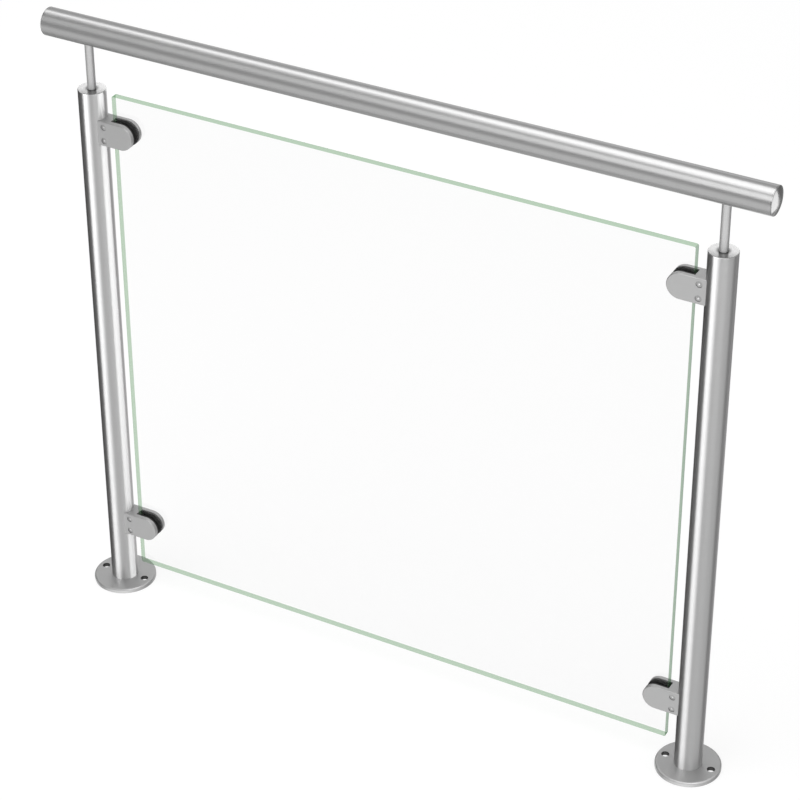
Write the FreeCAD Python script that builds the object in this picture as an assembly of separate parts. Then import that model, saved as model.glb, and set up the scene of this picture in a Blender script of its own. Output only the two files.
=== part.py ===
import FreeCAD, Part
import math
import os

# Glass balustrade panel: two round posts on flanges, a handrail carried on stems, and a pane of glass
# held between the posts by four clamps. Millimetres. X runs along the handrail, Y through the glass
# and Z up. The origin is on the floor, midway between the posts.

# Overall sizes
post_spacing = 1000.0
rail_top = 1000.0
rail_above_post = 73.6
rail_overhang = 67.0

# Tube of the posts and the handrail
tube_d = 42.4
tube_wall = 2.0

# Base flanges
flange_d = 100.0
flange_t = 7.0
flange_edge_r = 3.0
anchor_hole_d = 12.0
anchor_from_rim = 13.0
weld_recess = 1.5

# Caps that plug the tubes
cap_rim_t = 2.0
cap_edge_r = 1.2
cap_rise = 4.0
cap_floor_t = 2.0
cap_spigot_l = 14.0
cap_spigot_wall = 3.0
cap_spigot_chamfer = 1.0
cap_boss_wall = 4.0

# Handrail stems
stem_d = 13.0
stem_land = 7.0
stem_lower_thread_d = 8.0
stem_upper_thread_d = 6.0
stem_thread_l = 11.0

# Threaded inserts in the tube walls
insert_wall = 1.5
insert_lip = 1.0
insert_l = 15.0
insert_bulge = 1.8
insert_bulge_l = 4.0

# Glass pane
glass_t = 10.0
glass_bottom = 44.0
glass_gap = 15.8
glass_corner_r = 3.0
glass_arris = 0.8

# Glass clamps
clamp_h = 40.0
clamp_reach = 52.6
clamp_plate_t = 6.8
clamp_edge_r = 1.5
gasket_t = 2.8
clamp_from_glass_top = 60.9
clamp_from_glass_bottom = 74.7
web_to_glass = 2.0

# Clamp cover screws
screw_d = 6.0
screw_head_d = 9.4
screw_head_t = 2.2
screw_crown_rise = 1.0
screw_sunk = 0.2
screw_socket_af = 3.0
screw_socket_depth = 1.2
screw_from_post = 4.8
screw_from_edge = 9.0

# Bolts that hold the clamps to the posts
bolt_d = 8.0
bolt_head_d = 13.0
bolt_head_t = 5.0
bolt_sunk = 0.5
bolt_socket_af = 5.0
bolt_socket_depth = 2.5

# Clearances
plug_clearance = 0.1
seat_clearance = 0.05
thread_clearance = 0.1
hole_clearance = 0.2

# Sizes worked out from those above
tube_r = tube_d / 2
tube_ir = tube_r - tube_wall
rail_z = rail_top - tube_r
post_top = rail_top - tube_d - rail_above_post
rail_half = post_spacing / 2 + rail_overhang
stem_r = stem_d / 2
tube_top = post_top - cap_rim_t
glass_half = post_spacing / 2 - tube_r - glass_gap
glass_top = post_top
gasket_y = glass_t / 2
plate_y = gasket_y + gasket_t
clamp_y = plate_y + clamp_plate_t
clamp_tip = tube_r + clamp_reach
web_end = tube_r + glass_gap - web_to_glass
screw_x = tube_r + screw_from_post
screw_z = clamp_h / 2 - screw_from_edge
screw_seat_y = clamp_y - screw_sunk - screw_head_t
screw_l = screw_seat_y + gasket_y
bolt_seat_x = web_end - bolt_sunk - bolt_head_t
bolt_end_x = tube_r - insert_l + insert_wall
clamp_levels = {
    "upper": glass_top - clamp_from_glass_top,
    "lower": glass_bottom + clamp_from_glass_bottom,
}
sides = {"left": -1, "right": 1}

ALONG_X = FreeCAD.Vector(1, 0, 0)
ALONG_Y = FreeCAD.Vector(0, 1, 0)
ALONG_Z = FreeCAD.Vector(0, 0, 1)
ORIGIN = FreeCAD.Vector(0, 0, 0)


def vec(x, y, z):
    return FreeCAD.Vector(x, y, z)


def rod(radius, start, end):
    """Round bar between two points."""
    axis = end - start
    return Part.makeCylinder(radius, axis.Length, start, axis)


def turned(edges):
    """Solid turned about Z from a closed profile of edges in the XZ plane."""
    face = Part.Face(Part.Wire(edges))
    return face.revolve(ORIGIN, ALONG_Z, 360)


def profile_lines(points):
    """Straight edges through a list of (radius, height) points."""
    corners = [vec(r, 0, z) for r, z in points]
    return [Part.makeLine(a, b) for a, b in zip(corners, corners[1:])]


def profile_arc(start, middle, end):
    """Arc through three (radius, height) points."""
    a, b, c = [vec(r, 0, z) for r, z in (start, middle, end)]
    return Part.Arc(a, b, c).toShape()


def rounded_corner(corner_r, corner_z, radius):
    """Quarter-round edge at the outer upper corner of a turned piece, from its top to its side."""
    mid = radius * (1 - math.sqrt(0.5))
    return profile_arc(
        (corner_r - radius, corner_z),
        (corner_r - mid, corner_z - mid),
        (corner_r, corner_z - radius),
    )


def hexagon_prism(across_flats, base, axis, depth):
    """Six-sided prism, used for the sockets of screws."""
    radius = across_flats / math.sqrt(3)
    corners = []
    for i in range(7):
        angle = math.radians(60 * i)
        corners.append(vec(radius * math.cos(angle), radius * math.sin(angle), 0))
    prism = Part.Face(Part.makePolygon(corners)).extrude(vec(0, 0, depth))
    prism.Placement = FreeCAD.Placement(base, FreeCAD.Rotation(ALONG_Z, axis))
    return prism


def at_post(shape, side, level=0.0):
    """Move a piece modelled beside the left post to its own post, mirrored for the right one."""
    placed = shape.mirror(ORIGIN, ALONG_X) if side > 0 else shape.copy()
    placed.translate(vec(side * post_spacing / 2, 0, level))
    return placed


# Posts

def base_flange():
    """Round plate with a rounded upper edge, a bore for the post and two anchor holes."""
    flange_r = flange_d / 2
    bore_r = tube_r + plug_clearance
    edges = profile_lines([
        (flange_r, flange_t - flange_edge_r),
        (flange_r, 0),
        (bore_r, 0),
        (bore_r, flange_t),
        (flange_r - flange_edge_r, flange_t),
    ])
    edges.append(rounded_corner(flange_r, flange_t, flange_edge_r))
    plate = turned(edges)
    for direction in (-1, 1):
        centre = direction * (flange_r - anchor_from_rim)
        plate = plate.cut(rod(anchor_hole_d / 2, vec(centre, 0, 0), vec(centre, 0, flange_t)))
    return plate


def post_tube():
    """Post tube beside the left post's axis, with a hole for an insert behind each clamp."""
    tube = rod(tube_r, vec(0, 0, weld_recess), vec(0, 0, tube_top))
    tube = tube.cut(rod(tube_ir, vec(0, 0, weld_recess), vec(0, 0, tube_top)))
    for level in clamp_levels.values():
        hole = insert_blank(bolt_d, plug_clearance)
        hole.rotate(ORIGIN, ALONG_Y, 90)
        hole.translate(vec(tube_r, 0, level))
        tube = tube.cut(hole)
    return tube


def dome_fall(radius, span, rise):
    """How far a shallow dome has fallen, at a distance from its axis, below its crown."""
    dome_r = (span ** 2 + rise ** 2) / (2 * rise)
    return dome_r - math.sqrt(dome_r ** 2 - radius ** 2)


def dome_z(radius):
    """Height of a cap's domed top at a distance from its axis, above the end of the tube."""
    return cap_rim_t + cap_rise - dome_fall(radius, tube_r - cap_edge_r, cap_rise)


def cap_skirt():
    """Profile shared by all caps: from the dome's edge down round the spigot to the cap's floor."""
    spigot_r = tube_ir - plug_clearance
    spigot_ir = spigot_r - cap_spigot_wall
    lines = profile_lines([
        (tube_r, cap_rim_t - cap_edge_r),
        (tube_r, 0),
        (spigot_r, 0),
        (spigot_r, cap_spigot_chamfer - cap_spigot_l),
        (spigot_r - cap_spigot_chamfer, -cap_spigot_l),
        (spigot_ir, -cap_spigot_l),
        (spigot_ir, -cap_floor_t),
    ])
    return [rounded_corner(tube_r, cap_rim_t, cap_edge_r)] + lines, spigot_ir


def dome_arc(inner_r):
    """Domed top from a distance off the axis out to the cap's rounded edge."""
    outer_r = tube_r - cap_edge_r
    middle_r = (inner_r + outer_r) / 2
    return profile_arc((inner_r, dome_z(inner_r)), (middle_r, dome_z(middle_r)), (outer_r, cap_rim_t))


def post_cap():
    """Domed plug for the post, with a flat land and a tapped boss for the handrail stem."""
    skirt, spigot_ir = cap_skirt()
    tapped_r = stem_lower_thread_d / 2 + thread_clearance
    boss_r = tapped_r + cap_boss_wall
    land_r = stem_r + stem_land
    land_z = dome_z(land_r)
    boss = profile_lines([
        (spigot_ir, -cap_floor_t),
        (boss_r, -cap_floor_t),
        (boss_r, -cap_spigot_l),
        (tapped_r, -cap_spigot_l),
        (tapped_r, land_z),
        (land_r, land_z),
    ])
    return turned([dome_arc(land_r)] + skirt + boss)


def rail_end_cap():
    """Closed domed plug for an end of the handrail, turned about Z."""
    skirt, spigot_ir = cap_skirt()
    inside = profile_lines([(spigot_ir, -cap_floor_t), (0, -cap_floor_t), (0, dome_z(0))])
    return turned([dome_arc(0)] + skirt + inside)


# Handrail

def insert_blank(thread_d, clearance):
    """Outside of a threaded insert: countersunk head at z = 0 and a sleeve down the inside."""
    sleeve_r = thread_d / 2 + insert_wall + clearance
    head_r = sleeve_r + insert_lip
    points = [(0, tube_wall), (head_r, tube_wall), (head_r, -insert_lip), (sleeve_r, -2 * insert_lip),
              (sleeve_r, -insert_l), (0, -insert_l), (0, tube_wall)]
    return turned(profile_lines(points))


def threaded_insert(thread_d):
    """Blind rivet nut set in a tube wall, flush with the tube outside and bulged behind the wall.

    The tube's outer face is at z = 0, its axis runs along X at z = -tube_r.
    """
    bulge_r = thread_d / 2 + insert_wall + insert_bulge
    bulge_top = math.sqrt(tube_ir ** 2 - bulge_r ** 2) - tube_r - seat_clearance
    bulge = rod(bulge_r, vec(0, 0, bulge_top - insert_bulge_l), vec(0, 0, bulge_top))
    tube_solid = rod(tube_r, vec(-tube_r, 0, -tube_r), vec(tube_r, 0, -tube_r))
    nut = insert_blank(thread_d, 0.0).common(tube_solid).fuse(bulge)
    tapped_r = thread_d / 2 + thread_clearance
    return nut.cut(rod(tapped_r, vec(0, 0, -insert_l), vec(0, 0, tube_wall)))


def handrail_tube():
    """Handrail tube with a hole in its underside above each post."""
    tube = rod(tube_r, vec(-rail_half, 0, rail_z), vec(rail_half, 0, rail_z))
    tube = tube.cut(rod(tube_ir, vec(-rail_half, 0, rail_z), vec(rail_half, 0, rail_z)))
    for side in sides.values():
        hole = insert_blank(stem_upper_thread_d, plug_clearance)
        hole.rotate(ORIGIN, ALONG_X, 180)
        hole.translate(vec(side * post_spacing / 2, 0, rail_z - tube_r))
        tube = tube.cut(hole)
    return tube


def rail_insert():
    """Threaded insert in the underside of the handrail, beside the left post's axis."""
    insert = threaded_insert(stem_upper_thread_d)
    insert.rotate(ORIGIN, ALONG_X, 180)
    insert.translate(vec(0, 0, rail_z - tube_r))
    return insert


def handrail_stem():
    """Rod from the post's cap to the handrail, coped to the tube above and threaded at both ends."""
    foot = tube_top + dome_z(stem_r + stem_land)
    rail_face = rail_z - tube_r
    body = rod(stem_r, vec(0, 0, foot), vec(0, 0, rail_z))
    body = body.cut(rod(tube_r + seat_clearance, vec(-stem_d, 0, rail_z), vec(stem_d, 0, rail_z)))
    lower_stud = rod(stem_lower_thread_d / 2, vec(0, 0, foot - stem_thread_l), vec(0, 0, foot + stem_r))
    stud_top = rail_face + stem_thread_l
    upper_stud = rod(stem_upper_thread_d / 2, vec(0, 0, rail_face - stem_r), vec(0, 0, stud_top))
    return body.fuse(lower_stud).fuse(upper_stud).removeSplitter()


def handrail_end_cap():
    """End cap at the left end of the handrail, turned to face along it."""
    cap = rail_end_cap()
    cap.rotate(ORIGIN, ALONG_Y, -90)
    cap.translate(vec(-rail_overhang, 0, rail_z))
    return cap


# Glass

def glass_pane():
    """Toughened pane with small round corners and a ground arris all round."""
    pane = Part.makeBox(2 * glass_half, glass_t, glass_top - glass_bottom,
                        vec(-glass_half, -glass_t / 2, glass_bottom))
    through = [e for e in pane.Edges if e.BoundBox.YLength > glass_t / 2]
    pane = pane.makeFillet(glass_corner_r, through)
    rims = [e for e in pane.Edges if e.BoundBox.YLength < glass_t / 2]
    return pane.makeChamfer(glass_arris, rims)


# Clamps, modelled at the left post with the post's axis on Z and the glass towards +X

def d_plate(start_x, inner_y, outer_y):
    """D-shaped plate, square at the post and half round at the glass, between two Y levels."""
    half = clamp_h / 2
    centre_x = clamp_tip - half
    corners = [vec(start_x, inner_y, half), vec(start_x, inner_y, -half), vec(centre_x, inner_y, -half)]
    edges = [Part.makeLine(a, b) for a, b in zip(corners, corners[1:])]
    edges.append(Part.Arc(corners[2], vec(clamp_tip, inner_y, 0), vec(centre_x, inner_y, half)).toShape())
    edges.append(Part.makeLine(vec(centre_x, inner_y, half), corners[0]))
    return Part.Face(Part.Wire(edges)).extrude(vec(0, outer_y - inner_y, 0))


def rounded_plate(inner_y, outer_y):
    """D-shaped plate from the post's axis, with its outer edge rounded off."""
    plate = d_plate(0, inner_y, outer_y)
    outer = []
    for edge in plate.Edges:
        box = edge.BoundBox
        on_outer_face = abs(box.Center.y - outer_y) < clamp_plate_t / 4
        if on_outer_face and box.XMax > tube_r:
            outer.append(edge)
    return plate.makeFillet(clamp_edge_r, outer)


def post_seat():
    """Bar that cuts the hollow seat which fits the clamp to its post."""
    return rod(tube_r + seat_clearance, vec(0, 0, -clamp_h), vec(0, 0, clamp_h))


def screw_centres():
    """Heights of a clamp's two cover screws."""
    return (-screw_z, screw_z)


def clamp_cover():
    """Front plate of a clamp, with counterbored holes for its two screws."""
    cover = rounded_plate(-plate_y, -clamp_y).cut(post_seat())
    for z in screw_centres():
        cover = cover.cut(rod(screw_d / 2 + hole_clearance, vec(screw_x, -clamp_y, z), vec(screw_x, 0, z)))
        head_r = screw_head_d / 2 + hole_clearance
        cover = cover.cut(rod(head_r, vec(screw_x, -clamp_y, z), vec(screw_x, -screw_seat_y, z)))
    return cover


def clamp_body():
    """Rear plate of a clamp and the web that seats it on the post."""
    web = Part.makeBox(web_end, 2 * plate_y, clamp_h, vec(0, -plate_y, -clamp_h / 2))
    body = rounded_plate(plate_y, clamp_y).fuse(web).removeSplitter().cut(post_seat())
    body = body.cut(rod(bolt_d / 2 + hole_clearance, vec(0, 0, 0), vec(web_end, 0, 0)))
    body = body.cut(rod(bolt_head_d / 2 + hole_clearance, vec(bolt_seat_x, 0, 0), vec(web_end, 0, 0)))
    for z in screw_centres():
        tapped_r = screw_d / 2 + thread_clearance
        body = body.cut(rod(tapped_r, vec(screw_x, -plate_y, z), vec(screw_x, plate_y, z)))
    return body


def gasket(inner_y, outer_y):
    """Rubber pad between the glass and one plate, flush with the plate's outline."""
    return d_plate(web_end + hole_clearance, inner_y, outer_y)


def cover_screw(z):
    """Domed socket screw that holds the cover to the body."""
    head_r = screw_head_d / 2
    shank_r = screw_d / 2
    shoulder = screw_head_t - screw_crown_rise
    middle = screw_head_t - dome_fall(shank_r, head_r, screw_crown_rise)
    crown = profile_arc((0, screw_head_t), (shank_r, middle), (head_r, shoulder))
    lines = profile_lines([
        (head_r, shoulder),
        (head_r, 0),
        (shank_r, 0),
        (shank_r, -screw_l),
        (0, -screw_l),
        (0, screw_head_t),
    ])
    socket_base = vec(0, 0, screw_head_t - screw_socket_depth)
    socket = hexagon_prism(screw_socket_af, socket_base, ALONG_Z, screw_head_t)
    screw = turned([crown] + lines).cut(socket)
    screw.rotate(ORIGIN, ALONG_X, 90)
    screw.translate(vec(screw_x, -screw_seat_y, z))
    return screw


def cover_screws():
    """Both cover screws of a clamp."""
    return Part.makeCompound([cover_screw(z) for z in screw_centres()])


def post_bolt():
    """Socket bolt from the glass side through the web into the insert in the post."""
    head = rod(bolt_head_d / 2, vec(bolt_seat_x, 0, 0), vec(bolt_seat_x + bolt_head_t, 0, 0))
    shank = rod(bolt_d / 2, vec(bolt_end_x, 0, 0), vec(bolt_seat_x, 0, 0))
    socket_base = vec(bolt_seat_x + bolt_head_t - bolt_socket_depth, 0, 0)
    socket = hexagon_prism(bolt_socket_af, socket_base, ALONG_X, bolt_head_t)
    return head.fuse(shank).cut(socket)


def post_insert():
    """Threaded insert in the post's wall behind a clamp."""
    insert = threaded_insert(bolt_d)
    insert.rotate(ORIGIN, ALONG_Y, 90)
    insert.translate(vec(tube_r, 0, 0))
    return insert


def build():
    """All pieces by name, each in its place."""
    pieces = {"handrail_tube": handrail_tube(), "glass_pane": glass_pane()}
    post_makers = {
        "base_flange": base_flange,
        "post_tube": post_tube,
        "handrail_stem": handrail_stem,
        "rail_insert": rail_insert,
        "handrail_end_cap": handrail_end_cap,
    }
    clamp_makers = {
        "clamp_body": clamp_body,
        "clamp_cover": clamp_cover,
        "cover_screws": cover_screws,
        "post_bolt": post_bolt,
        "post_insert": post_insert,
    }
    for side_name, side in sides.items():
        for name, make in post_makers.items():
            pieces[name + "_" + side_name] = at_post(make(), side)
        pieces["post_cap_" + side_name] = at_post(post_cap(), side, tube_top)
        for level_name, level in clamp_levels.items():
            place = "_" + level_name + "_" + side_name
            for name, make in clamp_makers.items():
                pieces[name + place] = at_post(make(), side, level)
            pieces["gasket_front" + place] = at_post(gasket(-gasket_y, -plate_y), side, level)
            pieces["gasket_rear" + place] = at_post(gasket(gasket_y, plate_y), side, level)
    return pieces


os.makedirs("parts", exist_ok=True)
for node, piece in build().items():
    piece.exportStep("parts/" + node + ".step")
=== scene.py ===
"""Looks of a glass balustrade panel: brushed tubes, satin clamps and a clear pane with green edges.

Laid out as an add-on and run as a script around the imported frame. Metres; X runs along the handrail,
Y through the glass and Z up.
"""

import math

import bmesh
import bpy
from bpy.props import FloatProperty, FloatVectorProperty, IntProperty, PointerProperty
from mathutils import Matrix, Vector


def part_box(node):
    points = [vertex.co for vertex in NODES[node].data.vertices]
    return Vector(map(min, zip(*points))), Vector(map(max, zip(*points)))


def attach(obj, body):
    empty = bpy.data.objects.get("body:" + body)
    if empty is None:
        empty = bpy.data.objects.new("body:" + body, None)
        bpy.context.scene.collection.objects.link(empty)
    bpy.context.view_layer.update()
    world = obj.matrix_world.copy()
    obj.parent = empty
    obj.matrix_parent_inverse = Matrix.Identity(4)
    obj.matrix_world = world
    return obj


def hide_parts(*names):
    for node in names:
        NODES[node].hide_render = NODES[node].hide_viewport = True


bl_info = {
    "name": "Glass Balustrade Panel",
    "version": (1, 0, 0),
    "blender": (4, 5, 0),
    "location": "View3D > Sidebar > Balustrade",
    "description": "Finishes, screws and studio for a glass balustrade panel",
    "category": "Object",
}

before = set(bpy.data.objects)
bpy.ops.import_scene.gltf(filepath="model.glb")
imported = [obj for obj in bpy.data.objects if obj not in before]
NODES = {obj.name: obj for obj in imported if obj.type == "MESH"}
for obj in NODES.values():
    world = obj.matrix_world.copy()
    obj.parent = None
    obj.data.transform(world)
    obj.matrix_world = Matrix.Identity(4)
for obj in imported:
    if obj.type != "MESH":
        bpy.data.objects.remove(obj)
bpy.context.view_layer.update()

MILLIMETRE = 0.001
WHITE = (1, 1, 1, 1)
SIDES = ("left", "right")
CLAMPS = ("upper_left", "upper_right", "lower_left", "lower_right")


def centre_of(node):
    """Middle of a node's box."""
    low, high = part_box(node)
    return (low + high) / 2


POST_AXIS = {side: centre_of("post_tube_" + side) for side in SIDES}
RAIL_AXIS = centre_of("handrail_tube")


# Settings that a user would change

class SteelSettings(bpy.types.PropertyGroup):
    """Finish of the stainless steel pieces."""

    tube_colour: FloatVectorProperty(
        name="Tube Colour", description="Brushed steel of the posts and the handrail",
        subtype="COLOR", size=3, min=0, max=1, default=(0.42, 0.42, 0.42))
    tube_roughness: FloatProperty(
        name="Tube Roughness", description="How far the brushing spreads reflections",
        subtype="FACTOR", min=0, max=1, default=0.4)
    brush_strength: FloatProperty(
        name="Brushing", description="How much more reflections spread along a tube than round it",
        subtype="FACTOR", min=0, max=1, default=0.95)
    brush_pitch: FloatProperty(
        name="Brush Line Pitch", description="Distance between the brush lines",
        subtype="DISTANCE", unit="LENGTH", min=0.1 * MILLIMETRE, default=0.7 * MILLIMETRE)
    plate_colour: FloatVectorProperty(
        name="Clamp Colour", description="Satin steel of the clamps",
        subtype="COLOR", size=3, min=0, max=1, default=(0.42, 0.42, 0.42))
    plate_roughness: FloatProperty(
        name="Clamp Roughness", description="Roughness of the satin clamps",
        subtype="FACTOR", min=0, max=1, default=0.5)
    flange_colour: FloatVectorProperty(
        name="Flange Colour", description="Turned steel of the base flanges",
        subtype="COLOR", size=3, min=0, max=1, default=(0.42, 0.42, 0.42))
    flange_roughness: FloatProperty(
        name="Flange Roughness", description="Roughness of the turned flanges",
        subtype="FACTOR", min=0, max=1, default=0.48)
    # Painted shade: the colour given to the walls of the anchor holes
    bore_shade_colour: FloatVectorProperty(
        name="Bore Shade Colour", description="Painted shade inside the anchor holes",
        subtype="COLOR", size=3, min=0, max=1, default=(0.05, 0.05, 0.05))
    hole_offset: FloatProperty(
        name="Hole Offset", description="Distance of an anchor hole from the post's axis",
        subtype="DISTANCE", unit="LENGTH", min=0, default=37 * MILLIMETRE)
    hole_radius: FloatProperty(
        name="Hole Radius", description="Radius of an anchor hole",
        subtype="DISTANCE", unit="LENGTH", min=0, default=6 * MILLIMETRE)
    cap_colour: FloatVectorProperty(
        name="Cap Colour", description="Turned steel of the caps",
        subtype="COLOR", size=3, min=0, max=1, default=(0.27, 0.27, 0.27))
    post_cap_roughness: FloatProperty(
        name="Post Cap Roughness", description="Roughness of the posts' turned caps",
        subtype="FACTOR", min=0, max=1, default=0.26)
    post_cap_brushing: FloatProperty(
        name="Post Cap Brushing", description="How much more post caps spread reflections outwards",
        subtype="FACTOR", min=0, max=1, default=0.5)
    end_cap_roughness: FloatProperty(
        name="End Cap Roughness", description="Roughness of the handrail's turned end caps",
        subtype="FACTOR", min=0, max=1, default=0.2)
    end_cap_brushing: FloatProperty(
        name="End Cap Brushing", description="How much more end caps spread reflections outwards",
        subtype="FACTOR", min=0, max=1, default=0.3)
    cap_edge: FloatProperty(
        name="Cap Edge", description="Radius of the rounded edge of a post's cap",
        subtype="DISTANCE", unit="LENGTH", min=0, default=1.1 * MILLIMETRE)
    # Painted shade: a dark ring on the post caps round the foot of each stem
    cap_shade_width: FloatProperty(
        name="Cap Shade Width", description="Width of the painted shade round the foot of a stem",
        subtype="DISTANCE", unit="LENGTH", min=0, default=6 * MILLIMETRE)
    stem_colour: FloatVectorProperty(
        name="Stem Colour", description="Satin steel of the stems below the handrail",
        subtype="COLOR", size=3, min=0, max=1, default=(0.42, 0.42, 0.42))
    stem_roughness: FloatProperty(
        name="Stem Roughness", description="Roughness of the stems",
        subtype="FACTOR", min=0, max=1, default=0.5)
    screw_colour: FloatVectorProperty(
        name="Screw Colour", description="Satin steel of the screws and bolts",
        subtype="COLOR", size=3, min=0, max=1, default=(0.33, 0.33, 0.33))
    screw_roughness: FloatProperty(
        name="Screw Roughness", description="Roughness of the screws' heads",
        subtype="FACTOR", min=0, max=1, default=0.4)
    # Painted highlight: the screws' sockets are coloured much lighter than their heads
    socket_highlight_colour: FloatVectorProperty(
        name="Socket Highlight Colour", description="Painted highlight on the screws' sockets",
        subtype="COLOR", size=3, min=0, max=1, default=(0.75, 0.75, 0.75))
    socket_roughness: FloatProperty(
        name="Socket Roughness", description="Roughness of the screws' sockets",
        subtype="FACTOR", min=0, max=1, default=0.5)
    bolt_roughness: FloatProperty(
        name="Bolt Roughness", description="Roughness of the post bolts and their inserts",
        subtype="FACTOR", min=0, max=1, default=0.35)


class GlassSettings(bpy.types.PropertyGroup):
    """Finish of the pane and the rubber that holds it."""

    tint: FloatVectorProperty(
        name="Tint", description="Colour that one face of the pane lets through",
        subtype="COLOR", size=3, min=0, max=1, default=(0.975, 0.975, 0.975))
    edge_colour: FloatVectorProperty(
        name="Edge Colour", description="Green that the edges let through",
        subtype="COLOR", size=3, min=0, max=1, default=(0.54, 0.66, 0.54))
    # Painted shade: a darker copy of the edge green, for the edge that faces the right post
    right_edge_shaded_colour: FloatVectorProperty(
        name="Right Edge Shaded Colour", description="Green with painted shade, for the edge that faces the right post",
        subtype="COLOR", size=3, min=0, max=1, default=(0.42, 0.5, 0.43))
    edge_haze: FloatVectorProperty(
        name="Edge Haze", description="Green of the ground haze on the edges",
        subtype="COLOR", size=3, min=0, max=1, default=(0.30, 0.55, 0.32))
    edge_through: FloatProperty(
        name="Edge Clarity", description="Share of the edges that is clear of haze",
        subtype="FACTOR", min=0, max=1, default=0.85)
    rubber_colour: FloatVectorProperty(
        name="Rubber Colour", description="Black rubber of the gaskets",
        subtype="COLOR", size=3, min=0, max=1, default=(0.018, 0.018, 0.018))


class ScrewSettings(bpy.types.PropertyGroup):
    """Sizes of the domed socket screws in the clamp covers."""

    crown_rise: FloatProperty(
        name="Crown Rise", description="Height of a head's dome",
        subtype="DISTANCE", unit="LENGTH", min=0, default=0.5 * MILLIMETRE)
    head_height: FloatProperty(
        name="Head Height", description="Height of a head with its dome",
        subtype="DISTANCE", unit="LENGTH", min=0, default=2.2 * MILLIMETRE)
    shank_diameter: FloatProperty(
        name="Shank Diameter", description="Diameter of a screw's shank",
        subtype="DISTANCE", unit="LENGTH", min=0, default=6 * MILLIMETRE)
    socket_width: FloatProperty(
        name="Socket Width", description="Distance across the flats of the hexagon socket",
        subtype="DISTANCE", unit="LENGTH", min=0, default=3 * MILLIMETRE)
    socket_depth: FloatProperty(
        name="Socket Depth", description="Depth of the hexagon socket",
        subtype="DISTANCE", unit="LENGTH", min=0, default=1.2 * MILLIMETRE)
    sides: IntProperty(
        name="Sides", description="Faces round a screw, a multiple of six", min=12, default=48)


class StageSettings(bpy.types.PropertyGroup):
    """Camera, floor and light."""

    camera_place: FloatVectorProperty(
        name="Camera", description="Place of the camera",
        subtype="TRANSLATION", unit="LENGTH", size=3, default=(1.6611, -3.01868, 2.7398))
    camera_yaw: FloatProperty(
        name="Yaw", description="Turn of the camera to its left, from straight along +Y",
        subtype="ANGLE", unit="ROTATION", default=0.49991)
    camera_pitch: FloatProperty(
        name="Pitch", description="Downward tilt of the camera",
        subtype="ANGLE", unit="ROTATION", default=0.57724)
    camera_roll: FloatProperty(
        name="Roll", description="Roll of the camera",
        subtype="ANGLE", unit="ROTATION", default=0.00289)
    camera_lens: FloatProperty(
        name="Lens", description="Focal length on a sensor 36 mm wide", min=1, default=126.06)
    ambient: FloatProperty(
        name="Ambient Light", description="Strength of the room's light on plain surfaces",
        min=0, default=0.8)
    floor_colour: FloatVectorProperty(
        name="Floor Colour", description="Colour of the floor",
        subtype="COLOR", size=3, min=0, max=1, default=(0.94, 0.94, 0.94))
    floor_shadow: FloatProperty(
        name="Floor Shadow", description="Share of the floor's light that shadows can take away",
        subtype="FACTOR", min=0, max=1, default=0.25)


class PanelSettings(bpy.types.PropertyGroup):
    """All settings of the balustrade panel."""

    steel: PointerProperty(type=SteelSettings)
    glass: PointerProperty(type=GlassSettings)
    screws: PointerProperty(type=ScrewSettings)
    stage: PointerProperty(type=StageSettings)


# Building blocks of the node trees

def new_material(name):
    """Empty node material and its output."""
    material = bpy.data.materials.new(name)
    material.use_nodes = True
    tree = material.node_tree
    tree.nodes.clear()
    output = tree.nodes.new("ShaderNodeOutputMaterial")
    return material, tree, output


def give(tree, socket, value):
    """Set a socket to a value, or link it to another socket."""
    if isinstance(value, bpy.types.NodeSocket):
        tree.links.new(value, socket)
    else:
        socket.default_value = value


def add(tree, kind, inputs=None, **options):
    """Add a node, set its options, and set or link its inputs."""
    node = tree.nodes.new(kind)
    for option, value in options.items():
        setattr(node, option, value)
    for key, value in (inputs or {}).items():
        give(tree, node.inputs[key], value)
    return node


def maths(tree, operation, *values):
    """Result of one step of arithmetic."""
    return add(tree, "ShaderNodeMath", dict(enumerate(values)), operation=operation).outputs[0]


def vector_maths(tree, operation, *values):
    """Result of one step of vector arithmetic, a number where it is a length or a distance."""
    node = add(tree, "ShaderNodeVectorMath", dict(enumerate(values)), operation=operation)
    return node.outputs["Value" if operation in ("LENGTH", "DISTANCE") else "Vector"]


def colour4(colour, share=1.0):
    """Colour with full alpha, made lighter or darker by a share."""
    return tuple(min(1.0, c * share) for c in colour) + (1.0,)


def colour_mix(tree, share, first, second):
    """The first of two colours where a share is 0, and the second where it is 1."""
    mix = add(tree, "ShaderNodeMix", {"Factor": share}, data_type="RGBA")
    sides = [socket for socket in mix.inputs if socket.type == "RGBA"]
    give(tree, sides[0], first)
    give(tree, sides[1], second)
    return next(socket for socket in mix.outputs if socket.type == "RGBA")


def surface_mix(tree, output, share, first, second):
    """Surface that is one shader where a share is 0, and another where it is 1."""
    mix = add(tree, "ShaderNodeMixShader", {0: share, 1: first.outputs[0], 2: second.outputs[0]})
    give(tree, output.inputs["Surface"], mix.outputs[0])


def object_place(tree, origin=(0, 0, 0), scale=(1, 1, 1)):
    """Place on the piece, from an origin and scaled on each axis."""
    place = add(tree, "ShaderNodeTexCoord").outputs["Object"]
    return vector_maths(tree, "MULTIPLY", vector_maths(tree, "SUBTRACT", place, origin), scale)


def fine_lines(tree, place, detail=3.0):
    """Random lines or grain, 0 to 1, at the scale of the given place."""
    noise = add(tree, "ShaderNodeTexNoise", {"Vector": place, "Scale": 1.0, "Detail": detail})
    return noise.outputs["Fac"]


def even_grain(tree, in_a_metre, detail=3.0):
    """Grain without direction."""
    return fine_lines(tree, object_place(tree, scale=(in_a_metre,) * 3), detail)


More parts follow.
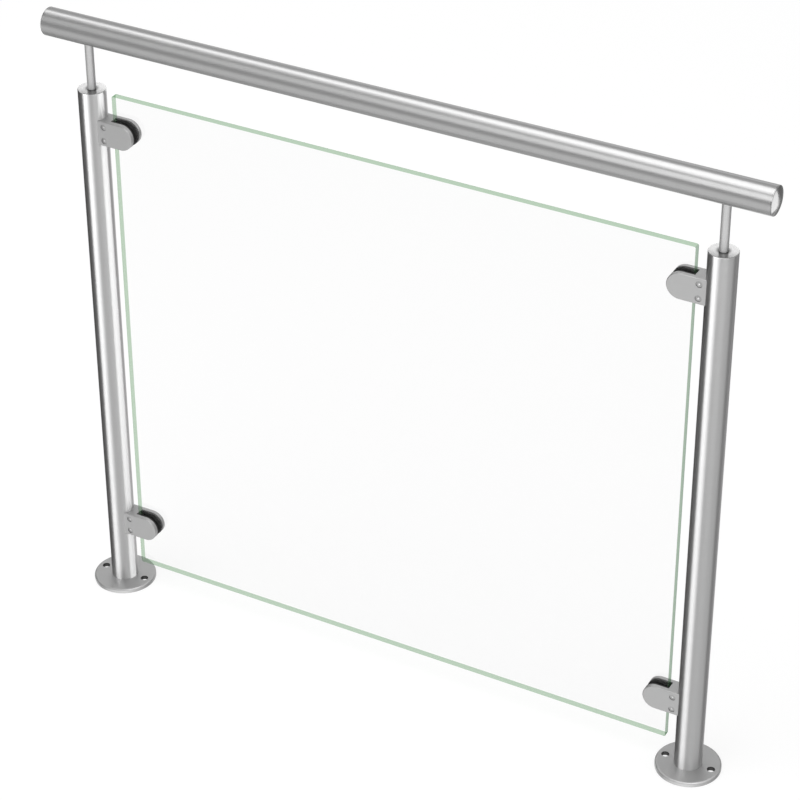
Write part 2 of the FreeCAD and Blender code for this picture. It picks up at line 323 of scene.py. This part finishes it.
def between(tree, value, low, high):
    """A value from the middle of the noise's range, spread between two limits."""
    noise_low, noise_high = 0.3, 0.7
    spread = add(tree, "ShaderNodeMapRange", {"Value": value, "From Min": noise_low,
                                              "From Max": noise_high, "To Min": low, "To Max": high})
    return spread.outputs["Result"]


def shades(tree, value, colour, depth):
    """The colour, made a little darker and lighter by a value from 0 to 1."""
    return colour_mix(tree, value, colour4(colour, 1 - depth), colour4(colour, 1 + depth))


# Finishes

def metal(tree, output, colour, roughness, lines, brushing=0.0, tangent=None, depth=0.05, relief=0.02):
    """Steel whose colour, roughness and relief follow a pattern of lines."""
    line_depth = 0.2 * MILLIMETRE
    bump = add(tree, "ShaderNodeBump", {"Strength": relief, "Distance": line_depth, "Height": lines})
    smoothest, roughest = 0.9, 1.1
    steel = add(tree, "ShaderNodeBsdfPrincipled", {
        "Base Color": shades(tree, lines, colour, depth),
        "Metallic": 1.0,
        "Roughness": between(tree, lines, roughness * smoothest, roughness * roughest),
        "Anisotropic": brushing,
        "Normal": bump.outputs["Normal"],
    })
    if tangent is not None:
        give(tree, steel.inputs["Tangent"], tangent)
    give(tree, output.inputs["Surface"], steel.outputs["BSDF"])
    return steel


def with_painted_shade(tree, steel, where, colour):
    """Steel with a painted shade colour where a value is 1."""
    base = steel.inputs["Base Color"]
    plain = base.links[0].from_socket
    give(tree, base, colour_mix(tree, where, plain, colour4(colour)))


def brushed_tube(name, axis, settings):
    """Tube brushed round its axis, so that reflections smear along it."""
    material, tree, output = new_material(name)
    fine = 1 / settings.brush_pitch
    coarse = 25.0
    scale = [fine if i == axis else coarse for i in range(3)]
    lines = fine_lines(tree, object_place(tree, scale=scale))
    along = [1.0 if i == axis else 0.0 for i in range(3)]
    tangent = add(tree, "ShaderNodeCombineXYZ", dict(zip("XYZ", along)))
    metal(tree, output, settings.tube_colour, settings.tube_roughness, lines, settings.brush_strength,
          tangent.outputs[0])
    return material


def turned_rings(tree, centre, axis):
    """Spoke from the axis of a lathe, its length, and fine rings round the axis."""
    rings_in_a_metre = 2500.0
    flat = [0.0 if i == axis else 1.0 for i in range(3)]
    spoke = object_place(tree, centre, flat)
    radius = vector_maths(tree, "LENGTH", spoke)
    count = maths(tree, "MULTIPLY", radius, rings_in_a_metre)
    rings = fine_lines(tree, add(tree, "ShaderNodeCombineXYZ", {"X": count}).outputs[0])
    return spoke, radius, rings


def turned_face(name, centre, axis, colour, roughness, brushing, shade_ring=None):
    """Face turned on a lathe, which may have a ring of painted shade that fades out between two radii.
    """
    material, tree, output = new_material(name)
    spoke, radius, rings = turned_rings(tree, centre, axis)
    outward = vector_maths(tree, "NORMALIZE", spoke)
    steel = metal(tree, output, colour, roughness, rings, brushing, outward)
    # Painted shade: darkest at the inner radius and gone at the outer one
    if shade_ring:
        ring_darkness = 0.15
        near, far = shade_ring
        fade = add(tree, "ShaderNodeMapRange", {"Value": radius, "From Min": near, "From Max": far,
                                                "To Min": 1.0, "To Max": 0.0},
                   interpolation_type="SMOOTHSTEP")
        with_painted_shade(tree, steel, fade.outputs["Result"], [c * ring_darkness for c in colour])
    return material


def drilled_flange(name, centre, settings):
    """Turned flange with painted shade inside its two anchor holes."""
    material, tree, output = new_material(name)
    spoke, _, rings = turned_rings(tree, centre, 2)
    mirrored = vector_maths(tree, "ABSOLUTE", spoke)
    from_hole = vector_maths(tree, "DISTANCE", mirrored, (settings.hole_offset, 0, 0))
    past_wall = 0.1 * MILLIMETRE
    # The anchor holes' walls are painted dark, as painted shade in the recess
    shaded_bore = maths(tree, "LESS_THAN", from_hole, settings.hole_radius + past_wall)
    steel = metal(tree, output, settings.flange_colour, settings.flange_roughness, rings)
    with_painted_shade(tree, steel, shaded_bore, settings.bore_shade_colour)
    return material


def satin_plate(name, colour, roughness):
    """Steel with a fine even grain."""
    material, tree, output = new_material(name)
    grain = even_grain(tree, in_a_metre=2200, detail=2.0)
    metal(tree, output, colour, roughness, grain, depth=0.04, relief=0.05)
    return material


def mirror_share(tree):
    """Share of light that glass mirrors: little seen straight on, all of it at a glancing angle."""
    straight_on = 0.04
    steepness = 5.0
    glancing = add(tree, "ShaderNodeLayerWeight", {"Blend": 0.5}).outputs["Facing"]
    rise = maths(tree, "POWER", glancing, steepness)
    return maths(tree, "MULTIPLY_ADD", rise, 1 - straight_on, straight_on)


def clear_glass(name, settings):
    """Face of the pane: lets light straight through with a slight tint, and mirrors a little."""
    material, tree, output = new_material(name)
    wave = even_grain(tree, in_a_metre=6, detail=1.0)
    wave_depth = 0.5 * MILLIMETRE
    bump = add(tree, "ShaderNodeBump", {"Strength": 0.02, "Distance": wave_depth, "Height": wave})
    through = add(tree, "ShaderNodeBsdfTransparent", {"Color": colour4(settings.tint)})
    mirror = add(tree, "ShaderNodeBsdfGlossy", {"Roughness": 0.01, "Normal": bump.outputs["Normal"]})
    surface_mix(tree, output, mirror_share(tree), through, mirror)
    return material


def ground_edge(name, settings, colour):
    """Edge of the pane: green to look through, with a slight ground haze."""
    material, tree, output = new_material(name)
    across, through_pane = 900, 60
    grind = fine_lines(tree, object_place(tree, scale=(across, through_pane, across)))
    haze = add(tree, "ShaderNodeBsdfDiffuse", {"Color": shades(tree, grind, settings.edge_haze, 0.1)})
    through = add(tree, "ShaderNodeBsdfTransparent", {"Color": shades(tree, grind, colour, 0.03)})
    surface_mix(tree, output, settings.edge_through, haze, through)
    return material


def black_rubber(name, settings):
    """Matt moulded rubber."""
    material, tree, output = new_material(name)
    grain = even_grain(tree, in_a_metre=1500)
    grain_depth = 0.1 * MILLIMETRE
    bump = add(tree, "ShaderNodeBump", {"Strength": 0.2, "Distance": grain_depth, "Height": grain})
    smoothest, roughest = 0.6, 0.8
    rubber = add(tree, "ShaderNodeBsdfPrincipled", {
        "Base Color": shades(tree, grain, settings.rubber_colour, 0.2),
        "Roughness": between(tree, grain, smoothest, roughest),
        "Specular IOR Level": 0.3,
        "Normal": bump.outputs["Normal"],
    })
    give(tree, output.inputs["Surface"], rubber.outputs["BSDF"])
    return material


def dress(material, *nodes):
    """Give CAD nodes a material."""
    for node in nodes:
        for slot in NODES[node].material_slots:
            slot.material = material


def with_places(name, places):
    """A node's name with each of several places."""
    return [name + "_" + place for place in places]


# Pieces

def ring(shape, radius, height, sides):
    """Ring of points at a radius and height."""
    points = []
    for i in range(sides):
        angle = 2 * math.pi * i / sides
        points.append(shape.verts.new((radius * math.cos(angle), radius * math.sin(angle), height)))
    return points


def bridge(shape, first, second):
    """Band of faces between two rings."""
    count = len(first)
    for i in range(count):
        j = (i + 1) % count
        shape.faces.new((first[i], first[j], second[j], second[i]))


def turned_mesh(shape, name):
    """Mesh of a turned shape, smooth apart from its sharp edges."""
    sharpest_smooth = math.radians(35)
    mesh = bpy.data.meshes.new(name)
    shape.to_mesh(mesh)
    shape.free()
    mesh.polygons.foreach_set("use_smooth", [True] * len(mesh.polygons))
    mesh.set_sharp_from_angle(angle=sharpest_smooth)
    return mesh


def flat_cap_mesh(low, high, base, bore, edge):
    """Flat turned cap between two corners of its box, with a rounded edge above its base."""
    sides = 128
    edge_steps = 10
    wall_and_play = 2.1 * MILLIMETRE
    shape = bmesh.new()
    radius = (high.x - low.x) / 2
    spigot = radius - wall_and_play
    outline = [(bore, high.z)]
    for i in range(edge_steps + 1):
        angle = math.pi / 2 * i / edge_steps
        outline.append((radius - edge + edge * math.sin(angle),
                        high.z - edge + edge * math.cos(angle)))
    outline += [(radius, base), (spigot, base), (spigot, low.z), (bore, low.z)]
    rings = [ring(shape, *place, sides) for place in outline]
    for first, second in zip(rings, rings[1:] + rings[:1]):
        bridge(shape, first, second)
    bmesh.ops.recalc_face_normals(shape, faces=shape.faces)
    bmesh.ops.translate(shape, verts=shape.verts, vec=((low.x + high.x) / 2, (low.y + high.y) / 2, 0))
    return turned_mesh(shape, "flat_cap")


class BALUSTRADE_OT_posts(bpy.types.Operator):
    """Finish the posts and their flanges, and make their caps"""

    bl_idname = "balustrade.posts"
    bl_label = "Finish Posts"

    def execute(self, context):
        steel = context.scene.balustrade.steel
        brushed = brushed_tube("post_brushed", 2, steel)
        dress(brushed, *with_places("post_tube", SIDES))
        upright = 0.5
        for side in SIDES:
            axis = POST_AXIS[side]
            flange = drilled_flange("flange_turned_" + side, axis, steel)
            dress(flange, "base_flange_" + side)
            stem_low, stem_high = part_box("handrail_stem_" + side)
            bore = (stem_high.x - stem_low.x) / 2
            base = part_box("post_tube_" + side)[1].z
            mesh = flat_cap_mesh(*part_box("post_cap_" + side), base, bore, steel.cap_edge)
            # Each cap gets a ring of painted shade round the foot of its stem
            turned = turned_face("post_cap_turned_" + side, axis, 2, steel.cap_colour,
                                 steel.post_cap_roughness, steel.post_cap_brushing,
                                 (bore, bore + steel.cap_shade_width))
            mesh.materials.append(turned)
            mesh.materials.append(brushed)
            for face in mesh.polygons:
                face.material_index = 1 if abs(face.normal.z) < upright else 0
            cap = bpy.data.objects.new("flat_cap_" + side, mesh)
            context.scene.collection.objects.link(cap)
            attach(cap, "root")
            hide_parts("post_cap_" + side)
        return {"FINISHED"}


class BALUSTRADE_OT_handrail(bpy.types.Operator):
    """Finish the handrail, its end caps and the stems that carry it"""

    bl_idname = "balustrade.handrail"
    bl_label = "Finish Handrail"

    def execute(self, context):
        steel = context.scene.balustrade.steel
        dress(brushed_tube("rail_brushed", 0, steel), "handrail_tube")
        end = turned_face("end_cap_turned", RAIL_AXIS, 0, steel.cap_colour, steel.end_cap_roughness,
                          steel.end_cap_brushing)
        dress(end, *with_places("handrail_end_cap", SIDES))
        stem = satin_plate("stem_satin", steel.stem_colour, steel.stem_roughness)
        dress(stem, *with_places("handrail_stem", SIDES))
        insert = satin_plate("rail_insert_steel", steel.plate_colour, steel.plate_roughness)
        dress(insert, *with_places("rail_insert", SIDES))
        return {"FINISHED"}


class BALUSTRADE_OT_pane(bpy.types.Operator):
    """Make the pane with clear faces and ground green edges"""

    bl_idname = "balustrade.pane"
    bl_label = "Make Pane"

    def execute(self, context):
        glass = context.scene.balustrade.glass
        mesh = NODES["glass_pane"].data.copy()
        mesh.name = "pane"
        mesh.materials.clear()
        mesh.materials.append(clear_glass("pane_clear", glass))
        mesh.materials.append(ground_edge("pane_edge", glass, glass.edge_colour))
        mesh.materials.append(ground_edge("pane_edge_right_shaded", glass, glass.right_edge_shaded_colour))
        shape = bmesh.new()
        shape.from_mesh(mesh)
        bmesh.ops.remove_doubles(shape, verts=shape.verts, dist=0.001 * MILLIMETRE)
        front_or_rear, facing_right_for_shade = 0.98, 0.5
        for face in shape.faces:
            face.smooth = False
            if abs(face.normal.y) > front_or_rear:
                face.material_index = 0
            else:
                # The edge that faces the right post takes the green with painted shade
                face.material_index = 2 if face.normal.x > facing_right_for_shade else 1
        shape.to_mesh(mesh)
        shape.free()
        pane = bpy.data.objects.new("pane", mesh)
        pane.visible_glossy = False
        context.scene.collection.objects.link(pane)
        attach(pane, "root")
        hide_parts("glass_pane")
        return {"FINISHED"}


class BALUSTRADE_OT_clamps(bpy.types.Operator):
    """Finish the glass clamps, their rubber, and the bolts that hold them to the posts"""

    bl_idname = "balustrade.clamps"
    bl_label = "Finish Clamps"

    def execute(self, context):
        settings = context.scene.balustrade
        steel = settings.steel
        plate = satin_plate("clamp_satin", steel.plate_colour, steel.plate_roughness)
        dress(plate, *with_places("clamp_body", CLAMPS), *with_places("clamp_cover", CLAMPS))
        rubber = black_rubber("gasket_black", settings.glass)
        dress(rubber, *with_places("gasket_front", CLAMPS), *with_places("gasket_rear", CLAMPS))
        fastener = satin_plate("fastener_steel_plain", steel.screw_colour, steel.bolt_roughness)
        dress(fastener, *with_places("post_bolt", CLAMPS), *with_places("post_insert", CLAMPS))
        return {"FINISHED"}


def hexagon_ring(shape, width, height_at, sides):
    """Ring of points on a hexagon, at heights given by their distance from the axis."""
    points = []
    for i in range(sides):
        angle = 2 * math.pi * i / sides
        off_flat = (angle + math.pi / 6) % (math.pi / 3) - math.pi / 6
        radius = width / 2 / math.cos(off_flat)
        place = (radius * math.cos(angle), radius * math.sin(angle), height_at(radius))
        points.append(shape.verts.new(place))
    return points


def screw_mesh(settings, head_radius, length):
    """One domed socket screw, its head's underside at z = 0 and its shank downwards."""
    shape = bmesh.new()
    sides = settings.sides
    top = settings.head_height
    rise = settings.crown_rise
    dome = (head_radius ** 2 + rise ** 2) / (2 * rise)

    def crown(radius):
        return top - dome + math.sqrt(dome ** 2 - radius ** 2)

    floor = top - settings.socket_depth
    rim = hexagon_ring(shape, settings.socket_width, crown, sides)
    foot = hexagon_ring(shape, settings.socket_width, lambda radius: floor, sides)
    widest = settings.socket_width / math.sqrt(3)
    crown_rings = 6
    rings = [foot, rim]
    for i in range(1, crown_rings + 1):
        radius = widest + (head_radius - widest) * i / crown_rings
        rings.append(ring(shape, radius, crown(radius), sides))
    shank = settings.shank_diameter / 2
    for radius, height in ((head_radius, 0), (shank, 0), (shank, -length)):
        rings.append(ring(shape, radius, height, sides))
    for first, second in zip(rings, rings[1:]):
        bridge(shape, first, second)
    shape.faces.new(foot)
    shape.faces.new(rings[-1])
    bmesh.ops.recalc_face_normals(shape, faces=shape.faces)
    mesh = turned_mesh(shape, "cover_screw")
    in_socket = [face.center.xy.length < widest and face.center.z > 0 for face in mesh.polygons]
    mesh.attributes.new("socket", "BOOLEAN", "FACE").data.foreach_set("value", in_socket)
    return mesh


def line_of_two(tree, start, end):
    """Two points, at a start and an end."""
    return add(tree, "GeometryNodeMeshLine", {"Count": 2, "Start Location": start, "Offset": end},
               mode="END_POINTS").outputs["Mesh"]


def screw_pattern():
    """Node tree that repeats a screw at both posts, above and below both clamp levels."""
    tree = bpy.data.node_groups.new("cover_screw_pattern", "GeometryNodeTree")
    tree.interface.new_socket("Geometry", in_out="INPUT", socket_type="NodeSocketGeometry")
    for name in ("Half Span", "Upper Level", "Lower Level", "Half Pitch", "Seat"):
        socket = tree.interface.new_socket(name, in_out="INPUT", socket_type="NodeSocketFloat")
        socket.subtype = "DISTANCE"
    for name in ("Head Material", "Socket Highlight Material"):
        tree.interface.new_socket(name, in_out="INPUT", socket_type="NodeSocketMaterial")
    tree.interface.new_socket("Geometry", in_out="OUTPUT", socket_type="NodeSocketGeometry")
    given = tree.nodes.new("NodeGroupInput").outputs
    result = tree.nodes.new("NodeGroupOutput")

    def place(x=0.0, y=0.0, z=0.0):
        return add(tree, "ShaderNodeCombineXYZ", {"X": x, "Y": y, "Z": z}).outputs[0]

    def opposite(value):
        return maths(tree, "MULTIPLY", value, -1.0)

    points = line_of_two(tree, place(opposite(given["Half Span"]), given["Seat"]),
                         place(given["Half Span"], given["Seat"]))
    levels = line_of_two(tree, place(z=given["Lower Level"]), place(z=given["Upper Level"]))
    pitch = line_of_two(tree, place(z=opposite(given["Half Pitch"])), place(z=given["Half Pitch"]))
    for step in (levels, pitch):
        spread = add(tree, "GeometryNodeInstanceOnPoints", {"Points": points, "Instance": step})
        points = add(tree, "GeometryNodeRealizeInstances", {"Geometry": spread.outputs[0]}).outputs[0]
    facing_front = (math.pi / 2, 0, 0)
    screws = add(tree, "GeometryNodeInstanceOnPoints",
                 {"Points": points, "Instance": given["Geometry"], "Rotation": facing_front})
    plain = add(tree, "GeometryNodeRealizeInstances", {"Geometry": screws.outputs[0]})
    heads = add(tree, "GeometryNodeSetMaterial",
                {"Geometry": plain.outputs[0], "Material": given["Head Material"]})
    # Faces in the socket take the material with the painted highlight
    in_socket = add(tree, "GeometryNodeInputNamedAttribute", {"Name": "socket"}, data_type="BOOLEAN")
    sockets = add(tree, "GeometryNodeSetMaterial",
                  {"Geometry": heads.outputs[0], "Selection": in_socket.outputs[0],
                   "Material": given["Socket Highlight Material"]})
    give(tree, result.inputs[0], sockets.outputs[0])
    return tree


class BALUSTRADE_OT_cover_screws(bpy.types.Operator):
    """Make the domed socket screws of the clamp covers"""

    bl_idname = "balustrade.cover_screws"
    bl_label = "Make Cover Screws"

    def execute(self, context):
        settings = context.scene.balustrade
        steel = settings.steel
        nodes = with_places("cover_screws", CLAMPS)
        low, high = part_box("cover_screws_upper_right")
        head_radius = (high.x - low.x) / 2
        seat = low.y + settings.screws.head_height
        source = bpy.data.objects.new("cover_screw_source",
                                      screw_mesh(settings.screws, head_radius, high.y - seat))
        context.scene.collection.objects.link(source)
        tree = screw_pattern()
        values = {
            "Half Span": (low.x + high.x) / 2,
            "Upper Level": centre_of("cover_screws_upper_right").z,
            "Lower Level": centre_of("cover_screws_lower_right").z,
            "Half Pitch": (high.z - low.z) / 2 - head_radius,
            "Seat": seat,
            "Head Material": satin_plate("screw_satin", steel.screw_colour, steel.screw_roughness),
            # The socket's light colour is a painted highlight
            "Socket Highlight Material": satin_plate("socket_painted_highlight", steel.socket_highlight_colour,
                                           steel.socket_roughness),
        }
        modifier = source.modifiers.new("pattern", "NODES")
        modifier.node_group = tree
        for item in tree.interface.items_tree:
            if item.in_out == "INPUT" and item.name in values:
                modifier[item.identifier] = values[item.name]
        context.view_layer.update()
        seen = source.evaluated_get(context.evaluated_depsgraph_get())
        mesh = bpy.data.meshes.new_from_object(seen)
        mesh.name = "cover_screws"
        source.modifiers.remove(modifier)
        bpy.data.objects.remove(source)
        screws = bpy.data.objects.new("cover_screws", mesh)
        context.scene.collection.objects.link(screws)
        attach(screws, "root")
        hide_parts(*nodes)
        return {"FINISHED"}


# Studio

def seen_share(tree):
    """1 for what is seen, in metal and through glass too, and 0 for light on plain surfaces."""
    path = add(tree, "ShaderNodeLightPath").outputs
    seen = maths(tree, "MAXIMUM", path["Is Camera Ray"], path["Is Glossy Ray"])
    return maths(tree, "MAXIMUM", seen, path["Is Transmission Ray"])


def white_room(world, ambient):
    """White to the eye, in metal and through glass, and softer as light."""
    world.use_nodes = True
    tree = world.node_tree
    tree.nodes.clear()
    strength = add(tree, "ShaderNodeMapRange",
                   {"Value": seen_share(tree), "To Min": ambient, "To Max": 1.0})
    white = add(tree, "ShaderNodeBackground", {"Color": WHITE, "Strength": strength.outputs["Result"]})
    add(tree, "ShaderNodeOutputWorld", {"Surface": white.outputs[0]})


def floor_paint(settings):
    """Pale floor that keeps a soft shadow."""
    material, tree, output = new_material("floor_pale")
    full_white = 1.04
    lit = add(tree, "ShaderNodeBsdfDiffuse", {"Color": colour4(settings.floor_colour)})
    even = add(tree, "ShaderNodeEmission", {"Color": WHITE, "Strength": full_white})
    share = maths(tree, "MULTIPLY", seen_share(tree), 1 - settings.floor_shadow)
    surface_mix(tree, output, share, lit, even)
    return material


def flat_piece(name, corners, material):
    """Flat stage piece with four or more corners."""
    mesh = bpy.data.meshes.new(name)
    mesh.from_pydata(corners, [], [tuple(range(len(corners)))])
    mesh.materials.append(material)
    piece = bpy.data.objects.new(name, mesh)
    bpy.context.scene.collection.objects.link(piece)
    return piece


def card_paint(name, brightness):
    """Even glow that gives no light of its own to other pieces."""
    material, tree, output = new_material(name)
    even = add(tree, "ShaderNodeEmission", {"Color": WHITE, "Strength": brightness})
    give(tree, output.inputs["Surface"], even.outputs[0])
    material.cycles.emission_sampling = "NONE"
    return material


def card(name, brightness, corners):
    """Studio card that shows only in reflections."""
    piece = flat_piece(name, corners, card_paint(name + "_paint", brightness))
    piece.visible_camera = False
    piece.visible_diffuse = False
    piece.visible_transmission = False
    piece.visible_volume_scatter = False
    piece.visible_shadow = False


def group_of(name, pieces):
    """Collection of CAD nodes and other pieces, by name."""
    group = bpy.data.collections.new(name)
    for piece in pieces:
        group.objects.link(NODES[piece] if piece in NODES else bpy.data.objects[piece])
    return group


def softbox(name, place, target, width, height, power, receivers=(), blockers=(), roll=0.0):
    """Rectangular lamp aimed at a point, which may light only some pieces, past most others."""
    lamp = bpy.data.lights.new(name, "AREA")
    lamp.shape = "RECTANGLE"
    lamp.size = width
    lamp.size_y = height
    lamp.energy = power
    piece = bpy.data.objects.new(name, lamp)
    aim = Vector(target) - Vector(place)
    turn = aim.to_track_quat("-Z", "Y").to_matrix().to_4x4() @ Matrix.Rotation(roll, 4, "Z")
    piece.matrix_world = Matrix.Translation(place) @ turn
    bpy.context.scene.collection.objects.link(piece)
    piece.visible_camera = False
    if receivers:
        piece.light_linking.receiver_collection = group_of(name + "_receivers", receivers)
        piece.light_linking.blocker_collection = group_of(name + "_blockers", [*receivers, *blockers])
    return piece


def camera(settings):
    """Camera at the photograph's angle."""
    yaw, pitch, roll = settings.camera_yaw, settings.camera_pitch, settings.camera_roll
    ahead = math.cos(pitch)
    forward = Vector((-math.sin(yaw) * ahead, math.cos(yaw) * ahead, -math.sin(pitch)))
    right = Vector((math.cos(yaw), math.sin(yaw), 0))
    down = forward.cross(right)
    across = right * math.cos(roll) + down * math.sin(roll)
    below = down * math.cos(roll) - right * math.sin(roll)
    turn = Matrix((across, -below, -forward)).transposed().to_4x4()
    lens = bpy.data.cameras.new("camera")
    lens.lens = settings.camera_lens
    lens.sensor_width = 36
    lens.clip_end = 100
    piece = bpy.data.objects.new("camera", lens)
    piece.matrix_world = Matrix.Translation(settings.camera_place) @ turn
    bpy.context.scene.collection.objects.link(piece)
    bpy.context.scene.camera = piece


POSTS = with_places("post_tube", SIDES)
POST_CAPS = with_places("flat_cap", SIDES)
STEMS = with_places("handrail_stem", SIDES)
FLANGES = with_places("base_flange", SIDES)

# Lamps for single pieces: name, place, point aimed at, width, height, watts, pieces lit, pieces that
# also throw a shadow, roll
LAMPS = (
    ("post_strip", (-2.15, -5.05, 2.1), (0, 0, 0.5), 4.4, 4.35, 380, POSTS + POST_CAPS),
    ("left_post_glow", (2.28, 0.85, -0.2), (-0.5, 0, 0.4), 3.5, 2.2, 88,
     ["post_tube_left", "flat_cap_left"]),
    ("stem_glow", (1.1, -2.25, -0.4), (0, 0, 0.92), 9.0, 2.0, 40, STEMS),
    ("cap_glow", (-1.35, 2.35, 2.5), (0, 0, 0.9), 4.6, 3.0, 98, POST_CAPS, STEMS),
    ("stem_side", (-3.0, -0.6, -0.3), (0, 0, 0.92), 3.0, 2.0, 12, STEMS),
    ("end_glow", (1.612, 0.576, 0.45), (0.57, 0, 0.98), 0.95, 1.0, 7.4,
     ["handrail_end_cap_right"], (), math.radians(18)),
    ("left_end_glow", (-2.6, 0, 0.8), (-0.57, 0, 0.98), 5.0, 4.0, 80, ["handrail_end_cap_left"]),
    ("flange_glow", (2.2, -1.5, 4.0), (0, 0, 0), 2.0, 1.3, 33, FLANGES),
    ("flange_side", (0.6, -2.8, -1.4), (0, 0, 0), 5.0, 1.2, 38, FLANGES),
    ("flange_left", (-2.4, 1.1, -1.3), (0, 0, 0), 3.0, 2.0, 34, FLANGES),
)

# Cards for reflections: name, brightness, corners
CARDS = (
    ("rail_strip", 3.0,
     [(-2.4, 0.19, 1.98), (-1.2, 0.18, 1.98), (-0.7, 0.1, 1.98), (-0.3, -0.08, 1.98),
      (0.0, -0.36, 1.98), (1.3, -0.85, 1.98), (1.3, 0.48, 1.98), (-2.4, 0.36, 1.98)]),
    ("rail_glow", 3.0,
     [(0.15, -1.15, 1.3), (2.2, -1.15, 1.3), (2.2, -0.77, 1.9), (0.15, -0.77, 1.9)]),
    ("rail_shade", 0.4,
     [(-2.5, -0.71, 2.07), (-0.1, -0.71, 2.07), (-0.5, -0.2, 2.26), (-2.5, -0.1, 2.26)]),
    ("rail_back", 0.7,
     [(-2.6, 0.75, 1.4), (1.2, 0.75, 1.4), (1.2, 0.6, 1.75), (-2.6, 0.6, 1.75)]),
    ("low_shade", 0.6,
     [(-5.6, -2.8, -6), (-1.5, -2.8, -6), (-1.5, 3.5, -6), (-5.6, 3.5, -6)]),
    ("front_shade", 0.66,
     [(-7, -5.9, -0.06), (2, -5.9, -0.06), (2, -5.56, 3.23), (-7, -5.56, 3.23)]),
    ("front_low", 1.5,
     [(-1.3, -0.92, -1), (0.3, -0.92, -1), (0.3, -5.4, -1), (-4.5, -5.4, -1), (-2.7, -2.4, -1)]),
    ("dark_left", 0.1, [(-6, -0.9, 3), (-6, 8, 3), (-6, 8, -16), (-6, -0.9, -16)]),
    ("grey_left", 0.2, [(-6, -4.6, 3), (-6, -0.9, 3), (-6, -0.9, -16), (-6, -4.6, -16)]),
    ("end_shade", 0.3,
     [(-0.05, 1.2, 0.1), (0.35, 1.2, 0.05), (0.72, 1.2, -0.1), (1.01, 1.2, -0.2),
      (1.01, 1.2, 0.12), (1.06, 1.2, 0.29), (1.21, 1.2, 0.43), (1.35, 1.2, 0.6),
      (1.41, 1.2, 0.77), (1.41, 1.2, 0.95), (-0.05, 1.2, 0.95)]),
    ("grey_right", 0.37, [(6.3, 1.55, 1.2), (3.5, 5.2, 1.2), (3.5, 5.2, -7), (6.3, 1.55, -7)]),
)


class BALUSTRADE_OT_stage(bpy.types.Operator):
    """Make the floor, the lamps, the cards and the camera"""

    bl_idname = "balustrade.stage"
    bl_label = "Make Stage"

    def execute(self, context):
        settings = context.scene.balustrade.stage
        context.scene.view_settings.view_transform = "Standard"
        context.scene.world = bpy.data.worlds.new("white_room")
        white_room(context.scene.world, settings.ambient)
        reach = 30.0
        under_flanges = -0.2 * MILLIMETRE
        corners = [(-reach, -reach, under_flanges), (reach, -reach, under_flanges),
                   (reach, reach, under_flanges), (-reach, reach, under_flanges)]
        floor = flat_piece("floor", corners, floor_paint(settings))
        floor.visible_glossy = False
        sky = softbox("sky", (-1.0, -1.5, 4.0), (0, 0, 0.4), 3.0, 3.0, 60)
        sky.visible_glossy = False
        for lamp in LAMPS:
            softbox(*lamp)
        for row in CARDS:
            card(*row)
        camera(settings)
        return {"FINISHED"}


class BALUSTRADE_PT_sidebar(bpy.types.Panel):
    """Buttons and settings of the balustrade panel"""

    bl_idname = "BALUSTRADE_PT_sidebar"
    bl_label = "Glass Balustrade Panel"
    bl_space_type = "VIEW_3D"
    bl_region_type = "UI"
    bl_category = "Balustrade"

    def draw(self, context):
        for operator in OPERATORS:
            self.layout.operator(operator.bl_idname)
        settings = context.scene.balustrade
        for group in (settings.steel, settings.glass, settings.screws, settings.stage):
            box = self.layout.box()
            for name in group.__annotations__:
                box.prop(group, name)


OPERATORS = (
    BALUSTRADE_OT_posts,
    BALUSTRADE_OT_handrail,
    BALUSTRADE_OT_pane,
    BALUSTRADE_OT_clamps,
    BALUSTRADE_OT_cover_screws,
    BALUSTRADE_OT_stage,
)
CLASSES = (
    SteelSettings, GlassSettings, ScrewSettings, StageSettings, PanelSettings,
) + OPERATORS + (BALUSTRADE_PT_sidebar,)


def register():
    for cls in CLASSES:
        bpy.utils.register_class(cls)
    bpy.types.Scene.balustrade = PointerProperty(type=PanelSettings)


def unregister():
    del bpy.types.Scene.balustrade
    for cls in reversed(CLASSES):
        bpy.utils.unregister_class(cls)


def main():
    register()
    bpy.ops.balustrade.posts()
    bpy.ops.balustrade.handrail()
    bpy.ops.balustrade.pane()
    bpy.ops.balustrade.clamps()
    bpy.ops.balustrade.cover_screws()
    bpy.ops.balustrade.stage()


if __name__ == "__main__":
    main()
